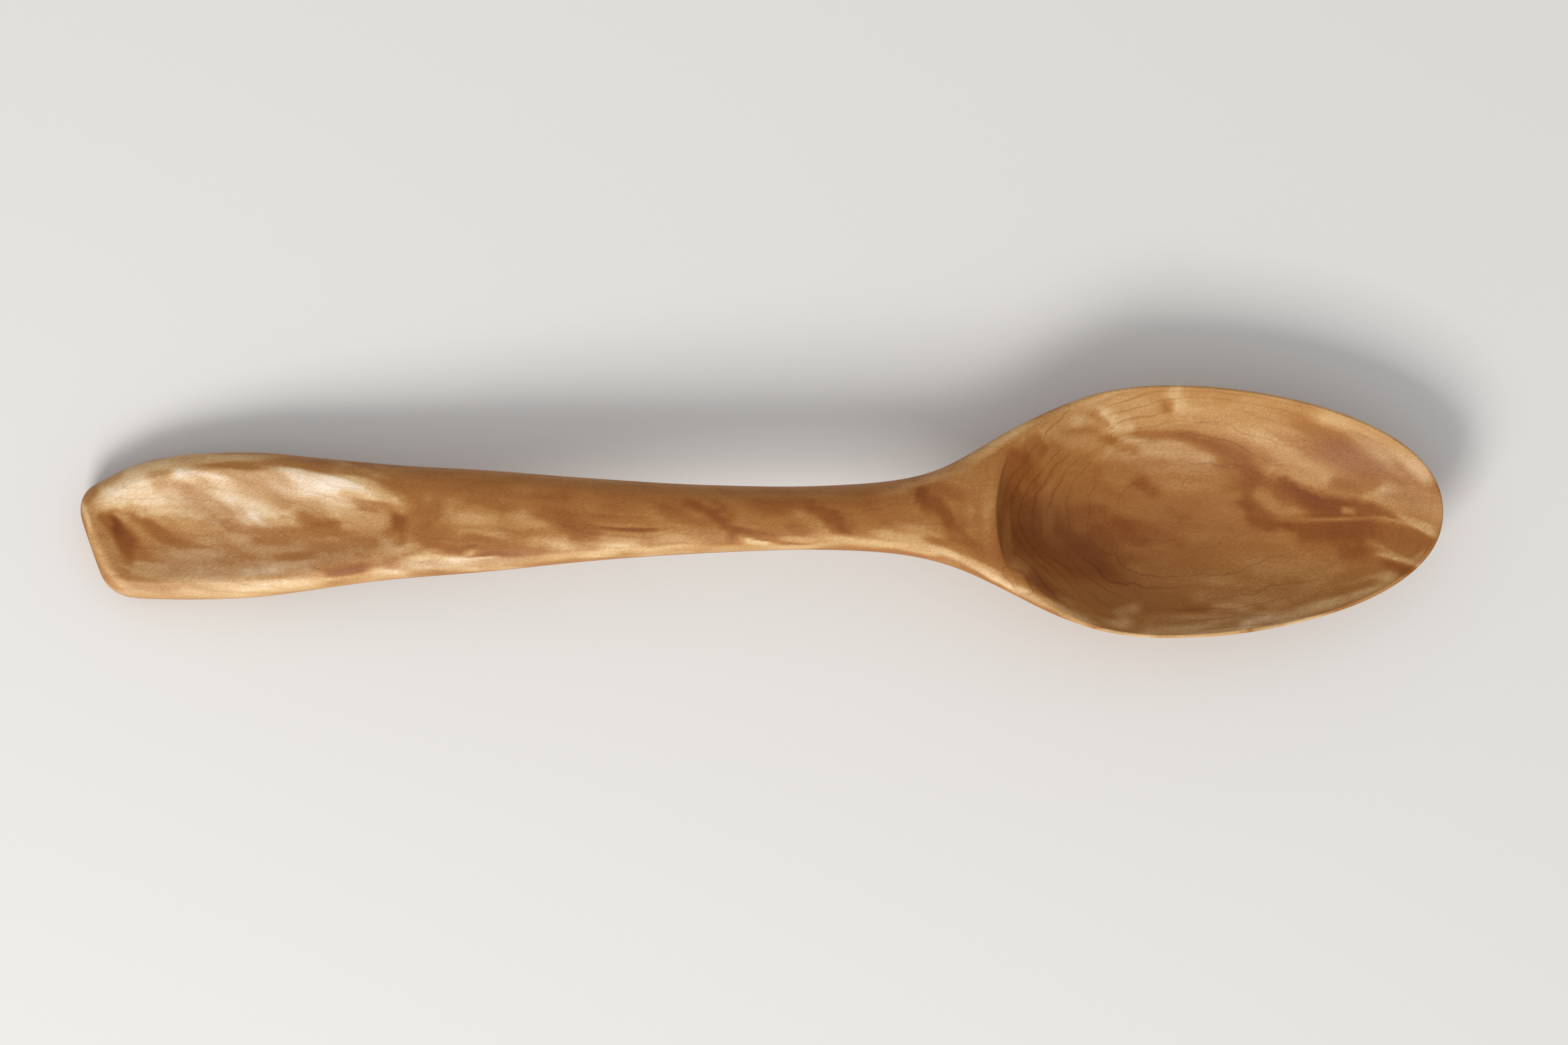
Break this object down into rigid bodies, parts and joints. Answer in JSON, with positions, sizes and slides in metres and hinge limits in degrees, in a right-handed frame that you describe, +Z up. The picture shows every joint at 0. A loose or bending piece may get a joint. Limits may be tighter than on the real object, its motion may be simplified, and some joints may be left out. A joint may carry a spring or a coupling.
{
  "type": "carved wooden spoon",
  "caption": "Carved wooden spoon with a deep pointed-oval bowl, a slim arched neck and a handle that widens to a thumb dish and a slanting end cut.",
  "frame": {"origin": "centre of the spoon's bounding box in plan, on the table it lies on", "axes": "+X runs along the spoon from the handle end to the tip of the bowl, +Z is up out of the hollow, +Y is across the bowl, towards the far corner of the end cut"},
  "size_m": [0.25, 0.0464, 0.0224],
  "materials": {
    "figured_wood": "hand carved figured hardwood with a curly, shimmering grain, sanded and oiled to a soft satin"
  },
  "bodies": {
    "root": {"spoon": "figured_wood"}
  },
  "joints": []
}
